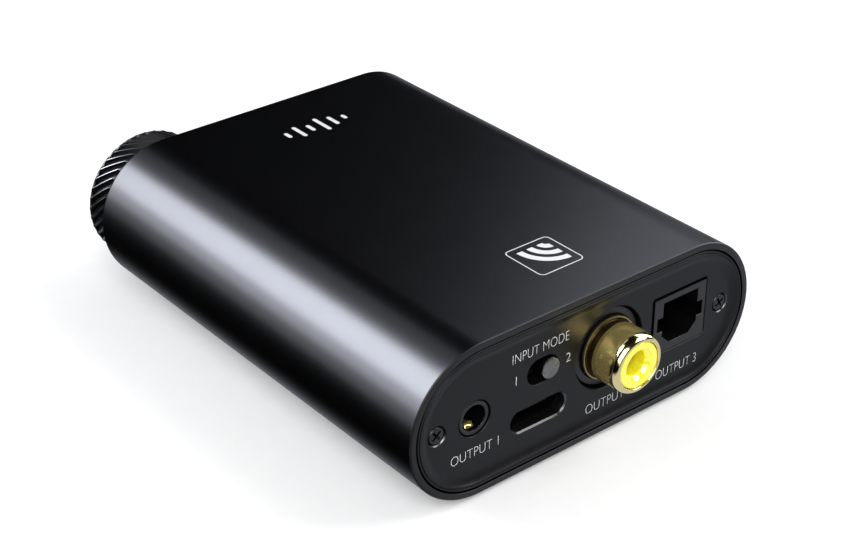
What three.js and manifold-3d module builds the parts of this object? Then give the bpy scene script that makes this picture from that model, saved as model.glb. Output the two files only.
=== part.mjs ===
// A compact desktop DAC and headphone amplifier, as an assembly of separate parts.
// Units are millimetres. Seen from the front, +X is right, +Y runs from the front panel to the
// rear panel and +Z is up. The origin is under the middle of the object, on the surface it stands on.
import * as THREE from 'three';
import { mergeVertices } from 'three/addons/utils/BufferGeometryUtils.js';
import Module from 'manifold-3d';

const wasm = await Module();
wasm.setup();

// ---------------------------------------------------------------- Driving dimensions

// Housing: an extruded tube whose sides are full half rounds, closed by a panel at each end.
const bodyWidth = 58;
const bodyHeight = 22;
const shellLength = 70.5;
const shellWall = 0.95;
const shellEdgeBreak = 0.15;
const sideRadius = bodyHeight / 2;
const flatHalf = bodyWidth / 2 - sideRadius;
const cavityRadius = sideRadius - shellWall;

// Panels: a raised rim round a sunken face. Heights are above the face, in the panel's own frame.
const faceSetBack = 0.69;
const faceY = shellLength / 2 - faceSetBack;
const panelThickness = 2;
const panelGap = 0.3;
const panelRadius = cavityRadius - panelGap;
const rimHeight = 0.62;
const rimChamfer = 0.15;
const rimWidth = 0.55;
const dishWidth = 1;
const behindPanel = panelThickness + panelGap;

// Screws, and the channels in the shell that they turn into.
const screwX = 24.35;
const screwHeadRadius = 1.1;
const screwHeadTop = -0.12;
const screwHeadBottom = -0.85;
const screwShankRadius = 0.6;
const screwLength = 7;
const channelRadius = 1.9;
const channelHoleRadius = 0.9;

// Main board and the rails that hold its edges.
const boardTop = -5.45;
const boardThickness = 1.6;
const boardHalfWidth = 24.2;
const boardHalfLength = 31.9;
const solderGap = 0.1;
const railReach = 1.2;
const railThickness = 0.85;
const railGap = 0.3;

// Feet.
const footRadius = 3;
const footHeight = 0.8;
const footX = 14;
const footY = 27;
const glueGap = 0.05;

// Rear ports, as x and z on the panel's face.
const lineOutAt = [18.44, 0];
const usbAt = [7.95, -3.73];
const modeSwitchAt = [7.45, 2.48];
const coaxAt = [-3.93, 1.1];
const opticalCutout = { left: -21.6, right: -11.5, low: -3.7, high: 5.2 };
const opticalMouth = { left: -20, right: -13.65, low: -2.45, high: 3.85 };

// Front controls. The front panel's frame is turned half round, so its +X is the object's -X.
const volumeAt = [-18, 0];
const headphoneAt = [18.9, 0];
const balancedAt = [11, 0];
const gainSwitchAt = [0.6, 3.15];
const bassSwitchAt = [0.6, -3.05];

// Slide switches.
const slotWidth = 5.5;
const slotHeight = 3.65;
const slideTravel = 2;
const nubRadius = 1.45;
const nubProud = 0.45;

// Knob, measured outwards from the front panel's face.
const knobRadius = 9.74;
const ridgeDepth = 0.6;
const ridgeCount = 40;
const ridgeTwistPerMm = THREE.MathUtils.degToRad(5.1);
const knobBack = 1.7;
const knobShoulderBack = 2.84;
const knobShoulderFront = 6.44;
const knobFront = 7.44;
const knobBackRadius = 8.7;
const knobFrontRadius = 8.8;
const knobRings = 5;

// Coaxial socket: how far its gold barrel stands out of the panel's face.
const coaxProud = 5.5;

// Numbers of flat sides on round shapes.
const shellSides = 48;
const fineSides = 36;
const coarseSides = 16;

// ---------------------------------------------------------------- Materials

function paint(colour, roughness, metalness) {
  return new THREE.MeshStandardMaterial({ color: colour, roughness, metalness });
}

const shellBlack = paint(0x1c1e22, 0.38, 0.9);
const panelBlack = paint(0x2a2b2f, 0.5, 0.8);
const knobBlack = paint(0x1d1e21, 0.35, 0.9);
const screwBlack = paint(0x242428, 0.35, 0.9);
const plasticBlack = paint(0x141416, 0.55, 0);
const rubberBlack = paint(0x101011, 0.85, 0);
const gold = paint(0xd9b05a, 0.22, 1);
const yellow = paint(0xf4e020, 0.25, 0);
const nickel = paint(0xb9bbbd, 0.3, 1);
const sliderSilver = paint(0xc4c4c2, 0.35, 0.8);
const boardBlack = paint(0x12201a, 0.5, 0.1);
const chipBlack = paint(0x1a1a1c, 0.6, 0);
const canSteel = paint(0xc8c8c6, 0.35, 1);
const sleeveBlue = paint(0x1f2c55, 0.4, 0);
const ferriteGrey = paint(0x3c3c3f, 0.8, 0);
const diffuserWhite = paint(0xe6e8ea, 0.4, 0);
const lensClear = paint(0xe8dede, 0.1, 0);

// ---------------------------------------------------------------- Geometry helpers

// A closed solid that can be joined and cut.
function solid(geometry) {
  const bare = geometry.clone();
  bare.deleteAttribute('normal');
  bare.deleteAttribute('uv');
  const merged = mergeVertices(bare, 1e-5);
  const triangles = [];
  for (let i = 0; i < merged.index.count; i += 3) {
    const [a, b, c] = [0, 1, 2].map((k) => merged.index.getX(i + k));
    if (a !== b && b !== c && c !== a) {
      triangles.push(a, b, c);
    }
  }
  return new wasm.Manifold(new wasm.Mesh({
    numProp: 3,
    vertProperties: new Float32Array(merged.attributes.position.array),
    triVerts: new Uint32Array(triangles),
  }));
}

function join(...geometries) {
  return geometries.map(solid).reduce((whole, piece) => whole.add(piece));
}

function cut(body, ...geometries) {
  return geometries.map(solid).reduce((whole, piece) => whole.subtract(piece), body);
}

// The drawable surface of a solid.
function surface(body) {
  const mesh = body.getMesh();
  const geometry = new THREE.BufferGeometry();
  geometry.setAttribute('position', new THREE.BufferAttribute(mesh.vertProperties, 3));
  geometry.setIndex(new THREE.BufferAttribute(mesh.triVerts, 1));
  const faceted = geometry.toNonIndexed();
  faceted.computeVertexNormals();
  return faceted;
}

// A box between two values on each axis.
function block([x0, x1], [y0, y1], [z0, z1]) {
  const geometry = new THREE.BoxGeometry(x1 - x0, y1 - y0, z1 - z0);
  return geometry.translate((x0 + x1) / 2, (y0 + y1) / 2, (z0 + z1) / 2);
}

// A profile of [radius, y] points turned about a line along Y.
function turned(profile, sides = coarseSides) {
  return new THREE.LatheGeometry(profile.map(([r, y]) => new THREE.Vector2(r, y)), sides);
}

// A round bar along Y.
function rod(radius, [y0, y1], [x, z] = [0, 0], sides = coarseSides) {
  return turned([[0, y0], [radius, y0], [radius, y1], [0, y1]], sides).translate(x, 0, z);
}

// A round tube along Y.
function tube(innerRadius, outerRadius, [y0, y1], sides = coarseSides) {
  const corners = [
    [innerRadius, y0], [outerRadius, y0], [outerRadius, y1], [innerRadius, y1], [innerRadius, y0],
  ];
  return turned(corners, sides);
}

// An outline in X and Z pushed along Y.
function prism(outline, [y0, y1], [x, z] = [0, 0]) {
  const options = { depth: y1 - y0, bevelEnabled: false, curveSegments: 12 };
  return new THREE.ExtrudeGeometry(outline, options).rotateX(Math.PI / 2).translate(x, y1, z);
}

function stadium(width, height) {
  const radius = height / 2;
  const half = width / 2 - radius;
  const outline = new THREE.Shape();
  outline.absarc(half, 0, radius, -Math.PI / 2, Math.PI / 2, false);
  outline.absarc(-half, 0, radius, Math.PI / 2, Math.PI * 1.5, false);
  return outline;
}

function roundedRectangle(width, height, corner) {
  const [x, z] = [width / 2 - corner, height / 2 - corner];
  const outline = new THREE.Shape();
  outline.absarc(x, -z, corner, -Math.PI / 2, 0, false);
  outline.absarc(x, z, corner, 0, Math.PI / 2, false);
  outline.absarc(-x, z, corner, Math.PI / 2, Math.PI, false);
  outline.absarc(-x, -z, corner, Math.PI, Math.PI * 1.5, false);
  return outline;
}

// A closed surface through rings of points, capped flat at both ends. Each ring runs
// anticlockwise as seen from -Y, and the rings follow the profile from its back to its front.
function skin(rings) {
  const sides = rings[0].length;
  const points = rings.flat();
  const middle = (ring) => ring.reduce((sum, p) => sum.add(p), new THREE.Vector3()).divideScalar(sides);
  points.push(middle(rings[0]), middle(rings[rings.length - 1]));
  const [firstMiddle, lastMiddle] = [points.length - 2, points.length - 1];
  const lastRing = (rings.length - 1) * sides;
  const index = [];
  for (let side = 0; side < sides; side += 1) {
    const next = (side + 1) % sides;
    for (let ring = 0; ring < lastRing; ring += sides) {
      const [a, b] = [ring + side, ring + sides + side];
      const [c, d] = [ring + next, ring + sides + next];
      index.push(a, b, c, b, d, c);
    }
    index.push(firstMiddle, side, next, lastMiddle, lastRing + next, lastRing + side);
  }
  const geometry = new THREE.BufferGeometry();
  geometry.setFromPoints(points);
  geometry.setIndex(index);
  return geometry;
}

// The housing's own section, lofted along Y through [radius, y] steps.
function stadiumLoft(steps) {
  const halfRound = shellSides / 2;
  const ring = ([radius, y]) => [-1, 1].flatMap((end) => (
    Array.from({ length: halfRound + 1 }, (_, i) => {
      const angle = Math.PI * (i / halfRound + (end < 0 ? 0.5 : -0.5));
      return new THREE.Vector3(end * flatHalf + radius * Math.cos(angle), y, radius * Math.sin(angle));
    })
  ));
  return skin(steps.map(ring));
}

// ---------------------------------------------------------------- Shell

function shell() {
  const end = shellLength / 2;
  const innerEnd = faceY - behindPanel;
  const along = [-innerEnd, innerEnd];
  const outside = stadiumLoft([
    [sideRadius - shellEdgeBreak, -end], [sideRadius, -end + shellEdgeBreak],
    [sideRadius, end - shellEdgeBreak], [sideRadius - shellEdgeBreak, end],
  ]);
  const cavity = stadiumLoft([[cavityRadius, -end - 1], [cavityRadius, end + 1]]);
  const insideWall = solid(stadiumLoft([
    [sideRadius - shellWall / 2, along[0]], [sideRadius - shellWall / 2, along[1]],
  ]));
  const boardBottom = boardTop - boardThickness;
  const upperRail = [boardTop + railGap, boardTop + railGap + railThickness];
  const lowerRail = [boardBottom - railGap - railThickness, boardBottom - railGap];
  const ribs = [-1, 1].flatMap((side) => {
    const toWall = (x) => (side < 0 ? [-bodyWidth / 2, -x] : [x, bodyWidth / 2]);
    return [
      rod(channelRadius, along, [side * screwX, 0]),
      block(toWall(screwX + 1), along, [-0.7, 0.7]),
      block(toWall(boardHalfWidth - railReach), along, upperRail),
      block(toWall(boardHalfWidth - railReach), along, lowerRail),
    ];
  });
  const insideRibs = join(...ribs).intersect(insideWall);
  const holes = [-1, 1].map((side) => rod(channelHoleRadius, [-end, end], [side * screwX, 0]));
  return cut(cut(solid(outside), cavity).add(insideRibs), ...holes);
}

// ---------------------------------------------------------------- Panels and screws

function panelBlank(screwsAt) {
  const rimInside = panelRadius - rimWidth;
  const blank = solid(stadiumLoft([
    [panelRadius, -panelThickness], [panelRadius, rimHeight - rimChamfer],
    [panelRadius - rimChamfer, rimHeight], [rimInside, rimHeight], [rimInside - dishWidth, 0],
  ]));
  const screwHoles = screwsAt.flatMap((x) => [
    rod(0.85, [-panelThickness - 1, 1], [x, 0]),
    rod(1.33, [screwHeadBottom - 0.05, 1], [x, 0]),
  ]);
  return cut(blank, ...screwHoles);
}

function through(panelPart, radius, at) {
  return cut(panelPart, rod(radius, [-panelThickness - 1, 1], at));
}

function slotThrough(panelPart, at) {
  return cut(panelPart, prism(stadium(slotWidth, slotHeight), [-panelThickness - 1, 1], at));
}

function rearPanel() {
  const usbFloor = -1;
  const usbChamfer = 0.35;
  const usbFlare = skin([[0, -usbChamfer], [2 * usbChamfer, 0.001]].map(([grow, y]) => (
    stadium(9.1 + grow, 3.15 + grow).getPoints(12).slice(0, -1)
      .map((p) => new THREE.Vector3(usbAt[0] + p.x, y, usbAt[1] + p.y))
  )));
  const opticalWidth = opticalCutout.right - opticalCutout.left;
  const opticalHeight = opticalCutout.high - opticalCutout.low;
  let panel = through(panelBlank([-screwX, screwX]), 2.54, lineOutAt);
  panel = through(panel, 5.83, coaxAt);
  panel = slotThrough(panel, modeSwitchAt);
  return cut(
    panel,
    prism(stadium(9.1, 3.15), [-panelThickness - 1, 1], usbAt),
    prism(stadium(9.7, 4), [-panelThickness - 1, usbFloor], usbAt),
    usbFlare,
    prism(
      roundedRectangle(opticalWidth, opticalHeight, 0.5),
      [-panelThickness - 1, 1],
      [opticalCutout.left + opticalWidth / 2, opticalCutout.low + opticalHeight / 2],
    ),
  );
}

const ringLight = { inner: 6.4, outer: 7.6, depth: 0.8, gap: 0.3, portRadius: 0.6 };
const lightPortDegrees = [30, 70, 110, 150];

// The knob covers one end of the front panel, where the volume control's nut holds it instead
// of a screw.
function frontPanel() {
  const ringMiddle = (ringLight.inner + ringLight.outer) / 2;
  const groove = tube(
    ringLight.inner - ringLight.gap,
    ringLight.outer + ringLight.gap,
    [-ringLight.depth - ringLight.gap, 1],
    fineSides,
  ).translate(volumeAt[0], 0, volumeAt[1]);
  const lightPorts = lightPortDegrees.map((degrees) => {
    const angle = THREE.MathUtils.degToRad(degrees);
    const at = [volumeAt[0] + ringMiddle * Math.cos(angle), volumeAt[1] + ringMiddle * Math.sin(angle)];
    return rod(ringLight.portRadius, [-panelThickness - 1, 0], at, 12);
  });
  let panel = through(panelBlank([screwX]), 3.8, volumeAt);
  panel = through(panel, 3.75, headphoneAt);
  panel = through(panel, 3.1, balancedAt);
  panel = slotThrough(panel, gainSwitchAt);
  panel = slotThrough(panel, bassSwitchAt);
  return cut(panel, groove, ...lightPorts);
}

function screw() {
  const body = solid(turned([
    [0, -screwLength], [0.35, -screwLength], [screwShankRadius, -screwLength + 0.4],
    [screwShankRadius, screwHeadBottom], [screwHeadRadius, screwHeadBottom],
    [screwHeadRadius, screwHeadTop - 0.2], [screwHeadRadius - 0.2, screwHeadTop], [0, screwHeadTop],
  ]));
  const depth = [screwHeadTop - 0.45, 0];
  return cut(body, block([-0.65, 0.65], depth, [-0.14, 0.14]), block([-0.14, 0.14], depth, [-0.65, 0.65]));
}

// A round stick-on foot, standing on z = 0.
function foot() {
  const top = footHeight - glueGap;
  return turned(
    [[0, 0], [footRadius - 0.25, 0], [footRadius, 0.25], [footRadius, top], [0, top]],
    fineSides,
  ).rotateX(Math.PI / 2);
}

// ---------------------------------------------------------------- Audio jacks

// The moulded body of a round jack: a block on the board and a nose in the panel's hole,
// with a slot along the bottom of the bore for the sleeve contact.
function jackBody(boreRadius, noseRadius, halfWidth, height) {
  const rear = -14;
  const body = join(
    block([-halfWidth, halfWidth], [rear, -behindPanel], [boardTop + solderGap, height]),
    rod(noseRadius, [-behindPanel - 1, screwHeadTop], [0, 0], fineSides),
  );
  const slot = block([-0.75, 0.75], [-9, -0.75], [-boreRadius - 0.35, -boreRadius + 0.6]);
  return cut(body, rod(boreRadius, [rear + 1.5, 1]), slot);
}

// A leaf spring with a raised lip near the jack's mouth.
function jackContact(boreRadius) {
  const low = -boreRadius - 0.15;
  const flat = low + 0.2;
  const outline = new THREE.Shape();
  outline.moveTo(-8.7, low);
  outline.lineTo(-0.95, low);
  outline.lineTo(-1.25, low + 0.6);
  outline.lineTo(-1.7, low + 0.6);
  outline.lineTo(-2.4, flat);
  outline.lineTo(-8.7, flat);
  const thickness = 1;
  const leaf = new THREE.ExtrudeGeometry(outline, { depth: thickness, bevelEnabled: false });
  // The outline's X runs along the jack and its Y is up, so the leaf is turned to lie along Y.
  return leaf.rotateX(Math.PI / 2).rotateZ(Math.PI / 2).translate(-thickness / 2, 0, 0);
}

// A flanged ring that lines a jack's hole.
function jackRing(innerRadius, spigotRadius, flangeRadius) {
  return turned([
    [innerRadius, -1.8], [spigotRadius, -1.8], [spigotRadius, 0.05], [flangeRadius, 0.05],
    [flangeRadius, 0.45], [flangeRadius - 0.3, 0.75], [innerRadius, 0.75], [innerRadius, -1.8],
  ], fineSides);
}

// ---------------------------------------------------------------- Slide switches

// The case, with a cavity for the carriage and a window for the nub's neck. centreZ is the
// height of the nub above the housing's middle. A raised case has room for another part below
// it, and an arm and a leg behind that part, down to the board.
function switchCase(centreZ, raised) {
  const across = [-4.3, 4.3];
  const along = [-6.5, -behindPanel - 0.1];
  const onBoard = boardTop + solderGap - centreZ;
  const low = raised
    ? [block(across, [-10.3, -6], [-1.5, 2]), block(across, [-10.3, -9.1], [onBoard, 2])]
    : [block(across, along, [onBoard, 0])];
  return cut(
    join(block(across, along, [-2, 2]), ...low),
    block([-3.2, 3.2], [-5, -2.9], [-1.4, 1.4]),
    block([-2.25, 2.25], [-3.5, 0], [-1.25, 1.25]),
  );
}

// The carriage, its neck and the turned metal nub that shows in the slot.
function slider() {
  const chamfer = 0.15;
  return join(
    block([-1.9, 1.9], [-4.7, -3.3], [-1.1, 1.1]),
    turned([
      [0, -3.5], [0.9, -3.5], [0.9, -1.7], [nubRadius, -1.7],
      [nubRadius, nubProud - chamfer], [nubRadius - chamfer, nubProud], [0, nubProud],
    ]),
  );
}

// ---------------------------------------------------------------- USB socket

function usbShell() {
  const [back, mouth] = [-8.6, -1.3];
  const outside = solid(prism(stadium(8.94, 3.2), [back, mouth]));
  return cut(outside, prism(stadium(8.34, 2.6), [back - 1, mouth + 1]));
}

function usbTongue() {
  return join(
    prism(stadium(8, 2.26), [-8.5, -7.3]),
    block([-3.35, 3.35], [-7.5, -1.95], [-0.35, 0.35]),
  );
}

// ---------------------------------------------------------------- Coaxial socket

function coaxHousing() {
  const body = join(
    block([-5.1, 5.1], [-12, -behindPanel], [boardTop + solderGap - coaxAt[1], 5.9]),
    rod(5.5, [-behindPanel - 1, -0.6], [0, 0], fineSides),
  );
  return cut(body, rod(3.9, [-13, 1], [0, 0], fineSides));
}

// Flange, neck, barrel and rounded lip in one turned piece.
function coaxBarrel() {
  const [boreRadius, barrelRadius, lipRadius] = [3.3, 4.16, 3.5];
  const lipStart = coaxProud - 1.2;
  const lip = Array.from({ length: 5 }, (_, i) => {
    const angle = (Math.PI / 2) * (i / 4);
    return [
      lipRadius + (barrelRadius - lipRadius) * Math.cos(angle),
      lipStart + (coaxProud - lipStart) * Math.sin(angle),
    ];
  });
  return turned([
    [boreRadius, -9], [3.6, -9], [3.6, -0.27], [4.46, -0.27], [4.46, 0.1], [3.87, 0.14],
    [3.87, 1.05], [barrelRadius, 1.3], ...lip, [boreRadius, coaxProud - 0.1], [boreRadius, -9],
  ], fineSides);
}

function coaxInsulator() {
  const face = coaxProud - 0.15;
  return turned([
    [0, -8.7], [3, -8.7], [3, face - 0.2], [2.8, face], [2.3, face], [1.65, face - 0.7],
    [1.65, -7.4], [0, -7.4],
  ], fineSides);
}

// ---------------------------------------------------------------- Optical socket

const opticalMiddle = [
  (opticalMouth.left + opticalMouth.right) / 2,
  (opticalMouth.low + opticalMouth.high) / 2,
];
const opticalDepth = 9;

// The plug's outline: a square with two cut lower corners and a guide slot in each side.
function opticalOutline() {
  const { left, right, low, high } = opticalMouth;
  const [corner, slotOut, slotLow, slotHigh] = [1.3, 1, -0.35, 1.75];
  const outline = new THREE.Shape();
  outline.moveTo(left + corner, low);
  outline.lineTo(right - corner, low);
  outline.lineTo(right, low + corner);
  outline.lineTo(right, slotLow);
  outline.lineTo(right + slotOut, slotLow);
  outline.lineTo(right + slotOut, slotHigh);
  outline.lineTo(right, slotHigh);
  outline.lineTo(right, high);
  outline.lineTo(left, high);
  outline.lineTo(left, slotHigh);
  outline.lineTo(left - slotOut, slotHigh);
  outline.lineTo(left - slotOut, slotLow);
  outline.lineTo(left, slotLow);
  outline.lineTo(left, low + corner);
  return outline;
}

function opticalHousing() {
  const { left, right, low, high } = opticalCutout;
  const [x, z] = opticalMiddle;
  const body = join(
    block([left + 0.12, right - 0.35], [-behindPanel - 1, -0.05], [low + 0.1, high - 0.33]),
    block([left - 0.1, right - 0.2], [-12.5, -behindPanel], [boardTop + solderGap, high + 0.1]),
  );
  return cut(
    body,
    prism(opticalOutline(), [-opticalDepth, 1]),
    block([x - 2.2, x + 2.2], [-13, -opticalDepth + 1], [z - 2.2, z + 2.2]),
  );
}

function opticalEmitter() {
  return join(
    block([-1.9, 1.9], [-12.3, -10.4], [-1.9, 1.9]),
    turned([[0, -11], [1.1, -11], [1.1, -10], [0.8, -9.6], [0, -9.4]]),
  );
}

// ---------------------------------------------------------------- Volume control

function potCase() {
  const width = 4.1;
  const body = join(
    block([-width, width], [-11, -3.7], [boardTop + solderGap, 4.4]),
    rod(3.5, [-4, 1.9], [0, 0], fineSides),
  );
  return cut(body, rod(3.6, [-9.6, -4.6]), rod(2.8, [-5, 3]));
}

function potNut() {
  const hexagon = turned([[0, 0.1], [5.7, 0.1], [5.7, 1.6], [0, 1.6]], 6);
  return cut(solid(hexagon), rod(3.8, [-1, 3]));
}

function volumeShaft() {
  return turned([
    [0, -9.2], [3.2, -9.2], [3.2, -8], [2.5, -8], [2.5, 2.2], [3, 2.2], [3, 6], [0, 6],
  ]);
}

// The knob's side is cut with steep helical ridges, which fade into a chamfer at each end.
function volumeKnob() {
  const sides = ridgeCount * 2;
  const shoulder = knobShoulderFront - knobShoulderBack;
  const steps = [
    [knobBack, knobBackRadius],
    ...Array.from({ length: knobRings }, (_, i) => (
      [knobShoulderBack + shoulder * (i / (knobRings - 1)), knobRadius]
    )),
    [knobFront, knobFrontRadius],
  ];
  const ring = ([y, radius]) => Array.from({ length: sides }, (_, i) => {
    const angle = (2 * Math.PI * i) / sides + y * ridgeTwistPerMm;
    const valley = Math.min(radius, knobRadius - ridgeDepth);
    const reach = i % 2 ? valley : radius;
    return new THREE.Vector3(reach * Math.cos(angle), y, reach * Math.sin(angle));
  });
  const hub = 5;
  return cut(
    solid(skin(steps.map(ring))),
    rod(7.9, [0, 2.3], [0, 0], fineSides),
    tube(hub, 7.9, [1, 4.2], fineSides),
    rod(3.3, [0, 6.3]),
  );
}

function lightRing() {
  return tube(ringLight.inner, ringLight.outer, [-ringLight.depth, -0.05], fineSides);
}

// Half a ring of board behind the panel, above the shaft and clear of the screw channel.
function ringLightBoard() {
  const annulus = tube(4.2, 8.2, [-3.3, -behindPanel - 0.1], fineSides);
  return cut(
    solid(annulus),
    rod(channelRadius + 0.4, [-4, 0], [-screwX - volumeAt[0], 0]),
    block([-9, 9], [-4, 0], [-9, 0]),
  );
}

// ---------------------------------------------------------------- Board parts

function onBoard(width, length, height) {
  const low = boardTop + solderGap;
  return block([-width / 2, width / 2], [-length / 2, length / 2], [low, low + height]);
}

function capacitor() {
  const [radius, height] = [3.15, 7];
  const low = boardTop + solderGap;
  return turned([
    [0, 0], [radius, 0], [radius, height - 0.3], [radius - 0.3, height], [0, height],
  ]).rotateX(Math.PI / 2).translate(0, 0, low);
}

// ---------------------------------------------------------------- Assembly

// The housing's frame has its origin in the middle of the shell. The knob reaches further out
// at the front than the coaxial socket does at the rear, so the shell stands off the middle.
const housing = new THREE.Group();
housing.position.set(0, (knobFront - coaxProud) / 2, footHeight + sideRadius);

// Each panel's frame lies on its face, with +Y pointing out of the housing.
const rear = new THREE.Group();
rear.position.y = faceY;
const front = new THREE.Group();
front.position.y = -faceY;
front.rotation.z = Math.PI;
housing.add(rear, front);

function place(name, shape, material, parent, [x, y, z] = [0, 0, 0]) {
  const geometry = shape instanceof THREE.BufferGeometry ? shape : surface(shape);
  const mesh = new THREE.Mesh(geometry, material);
  mesh.name = name;
  mesh.position.set(x, y, z);
  parent.add(mesh);
}

// Places a piece at a port's x and z on a panel.
function fit(name, shape, material, panel, [x, z]) {
  place(name, shape, material, panel, [x, 0, z]);
}

place('shell', shell(), shellBlack, housing);
place('rear_panel', rearPanel(), panelBlack, rear);
place('front_panel', frontPanel(), panelBlack, front);
fit('rear_screw_left', screw(), screwBlack, rear, [-screwX, 0]);
fit('rear_screw_right', screw(), screwBlack, rear, [screwX, 0]);
fit('front_screw', screw(), screwBlack, front, [screwX, 0]);
for (const [endName, end] of [['rear', 1], ['front', -1]]) {
  for (const [sideName, side] of [['left', -1], ['right', 1]]) {
    const footAt = [side * footX, end * footY, -sideRadius - footHeight];
    place(`foot_${endName}_${sideName}`, foot(), rubberBlack, housing, footAt);
  }
}

fit('line_out_jack', jackBody(1.8, 2.35, 3, 3), plasticBlack, rear, lineOutAt);
fit('line_out_contact', jackContact(1.8), gold, rear, lineOutAt);
fit('usb_socket_shell', usbShell(), nickel, rear, usbAt);
fit('usb_socket_tongue', usbTongue(), plasticBlack, rear, usbAt);
fit('mode_switch_case', switchCase(modeSwitchAt[1], true), plasticBlack, rear, modeSwitchAt);
const modeRest = [modeSwitchAt[0] - slideTravel / 2, modeSwitchAt[1]];
fit('mode_slider', slider(), sliderSilver, rear, modeRest);
fit('coax_housing', coaxHousing(), plasticBlack, rear, coaxAt);
fit('coax_washer', tube(3.85, 4.64, [-0.55, -0.3], fineSides), plasticBlack, rear, coaxAt);
fit('coax_barrel', coaxBarrel(), gold, rear, coaxAt);
fit('coax_insulator', coaxInsulator(), yellow, rear, coaxAt);
fit('coax_centre_contact', tube(1.05, 1.35, [-7.1, 1.5]), gold, rear, coaxAt);
place('optical_housing', opticalHousing(), plasticBlack, rear);
fit('optical_emitter', opticalEmitter(), lensClear, rear, opticalMiddle);

fit('headphone_jack', jackBody(1.8, 2.85, 3.2, 3.2), plasticBlack, front, headphoneAt);
fit('headphone_contact', jackContact(1.8), gold, front, headphoneAt);
fit('headphone_ring', jackRing(3.1, 3.5, 4.1), gold, front, headphoneAt);
fit('balanced_jack', jackBody(1.3, 2.3, 2.7, 2.7), plasticBlack, front, balancedAt);
fit('balanced_contact', jackContact(1.3), gold, front, balancedAt);
fit('balanced_ring', jackRing(2.5, 2.85, 3.4), gold, front, balancedAt);
for (const [name, [x, z]] of [['gain', gainSwitchAt], ['bass', bassSwitchAt]]) {
  fit(`${name}_switch_case`, switchCase(z, z > 0), plasticBlack, front, [x, z]);
  fit(`${name}_slider`, slider(), sliderSilver, front, [x + slideTravel / 2, z]);
}
fit('volume_pot', potCase(), nickel, front, volumeAt);
fit('volume_nut', potNut(), nickel, front, volumeAt);
fit('volume_shaft', volumeShaft(), nickel, front, volumeAt);
fit('volume_knob', volumeKnob(), knobBlack, front, volumeAt);
fit('light_ring', lightRing(), diffuserWhite, front, volumeAt);
fit('ring_light_board', ringLightBoard(), boardBlack, front, volumeAt);

const boardSize = [[-boardHalfWidth, boardHalfWidth], [-boardHalfLength, boardHalfLength]];
place('main_board', block(...boardSize, [boardTop - boardThickness, boardTop]), boardBlack, housing);
place('usb_receiver_chip', onBoard(10, 10, 1.4), chipBlack, housing, [6, 12, 0]);
place('converter_chip', onBoard(7, 7, 1.2), chipBlack, housing, [-6, 6, 0]);
place('regulator_chip', onBoard(6.5, 6, 2.3), chipBlack, housing, [-3, -6, 0]);
place('mute_relay', onBoard(10.6, 7.5, 8), plasticBlack, housing, [-17, 3, 0]);
[[-4, 14], [-12, 14]].forEach(([x, y], i) => {
  place(`clock_oscillator_${i + 1}`, onBoard(5, 3.2, 1.3), canSteel, housing, [x, y, 0]);
});
[[-18, -10], [-10, -10]].forEach(([x, y], i) => {
  place(`headphone_amp_chip_${i + 1}`, onBoard(5, 6, 1.5), chipBlack, housing, [x, y, 0]);
});
[[6, -1], [6, -10]].forEach(([x, y], i) => {
  place(`power_inductor_${i + 1}`, onBoard(6, 6, 3), ferriteGrey, housing, [x, y, 0]);
});
[13, 5, -3, -11].forEach((y, i) => {
  place(`filter_capacitor_${i + 1}`, capacitor(), sleeveBlue, housing, [17, y, 0]);
});

const group = new THREE.Group();
group.add(housing);
export default group;
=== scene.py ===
import math
from collections import Counter

import bmesh
import bpy
from mathutils import Matrix, Vector


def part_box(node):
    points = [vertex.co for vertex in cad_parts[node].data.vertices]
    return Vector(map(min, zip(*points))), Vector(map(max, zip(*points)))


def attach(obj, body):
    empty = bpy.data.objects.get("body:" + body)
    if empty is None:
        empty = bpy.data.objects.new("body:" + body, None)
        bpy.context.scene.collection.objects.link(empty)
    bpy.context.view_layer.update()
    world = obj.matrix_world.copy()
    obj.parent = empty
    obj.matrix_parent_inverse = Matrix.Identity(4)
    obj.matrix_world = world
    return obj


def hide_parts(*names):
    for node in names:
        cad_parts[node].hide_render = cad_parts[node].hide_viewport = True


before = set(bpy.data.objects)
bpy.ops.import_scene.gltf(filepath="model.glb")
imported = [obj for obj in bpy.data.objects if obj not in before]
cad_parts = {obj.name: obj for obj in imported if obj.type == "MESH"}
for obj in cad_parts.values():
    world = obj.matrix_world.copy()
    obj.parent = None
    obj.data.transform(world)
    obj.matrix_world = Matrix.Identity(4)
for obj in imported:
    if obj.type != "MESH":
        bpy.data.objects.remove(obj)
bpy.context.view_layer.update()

scene = bpy.context.scene
MM = 0.001

# -------- Places on the object
# Lengths are in millimetres unless a comment says otherwise. The housing's frame has its
# origin in the middle of the shell. A panel's frame lies on its face with +Y pointing out.

shell_low, shell_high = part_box("shell")
shell_middle = (shell_low + shell_high) / 2
FACE_SET_BACK = 0.69
face_y = (shell_high.y - shell_middle.y) / MM - FACE_SET_BACK
HOUSING = Matrix.Translation(shell_middle)
REAR = HOUSING @ Matrix.Translation((0, face_y * MM, 0))
FRONT = HOUSING @ Matrix.Rotation(math.pi, 4, "Z") @ Matrix.Translation((0, face_y * MM, 0))

BODY_WIDTH, BODY_HEIGHT = 58, 22
SIDE_RADIUS = BODY_HEIGHT / 2
FLAT_HALF = BODY_WIDTH / 2 - SIDE_RADIUS
SHELL_END = (shell_high.y - shell_low.y) / MM / 2
WALL, GAP = 0.95, 0.3
CAVITY_RADIUS = SIDE_RADIUS - WALL
PANEL_RADIUS = CAVITY_RADIUS - GAP
PANEL_THICKNESS = 2
RIM_HEIGHT = 0.62
BEHIND_PANEL = PANEL_THICKNESS + GAP

BOARD_TOP, BOARD_THICKNESS = -5.45, 1.6
BOARD_BOTTOM = BOARD_TOP - BOARD_THICKNESS
ON_BOARD = BOARD_TOP + 0.1
SCREW_X = 24.35

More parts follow.
